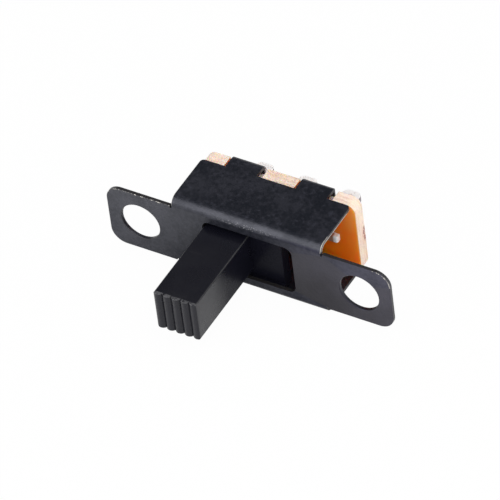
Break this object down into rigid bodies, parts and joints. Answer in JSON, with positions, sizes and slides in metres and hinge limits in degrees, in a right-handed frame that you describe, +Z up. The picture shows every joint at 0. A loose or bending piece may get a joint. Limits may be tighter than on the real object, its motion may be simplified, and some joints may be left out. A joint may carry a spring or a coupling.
{
  "type": "slide switch",
  "caption": "Miniature panel slide switch: folded black steel frame with drilled ears, amber laminate base with solder lugs, and a sliding black handle with a ribbed end.",
  "frame": {"origin": "midway between the centres of the mounting holes, on the front face of the plate", "axes": "+X along the slide towards the right-hand position, -Y out of the front plate along the handle, +Z up through the upper flange"},
  "size_m": [0.0194, 0.0134, 0.0056],
  "materials": {
    "black_steel": "satin black coating, bare at the cut edges",
    "amber_laminate": "paper laminate with paler sawn edges",
    "tinned_brass": "tin plated",
    "black_plastic": "fine matt moulding",
    "contact_bronze": "bright rolled strip",
    "spring_wire": "drawn wire"
  },
  "bodies": {
    "housing": {"steel_frame": "black_steel", "base_board": "amber_laminate", "left_terminal": "tinned_brass", "middle_terminal": "tinned_brass", "right_terminal": "tinned_brass"},
    "sliding_set": {"slider": "black_plastic", "moving_contact": "contact_bronze", "contact_spring": "spring_wire"}
  },
  "joints": [
    {"name": "handle_travel", "type": "slide", "parent": "housing", "child": "sliding_set", "axis": [1, 0, 0], "range_m": [0, 0.0031]}
  ]
}
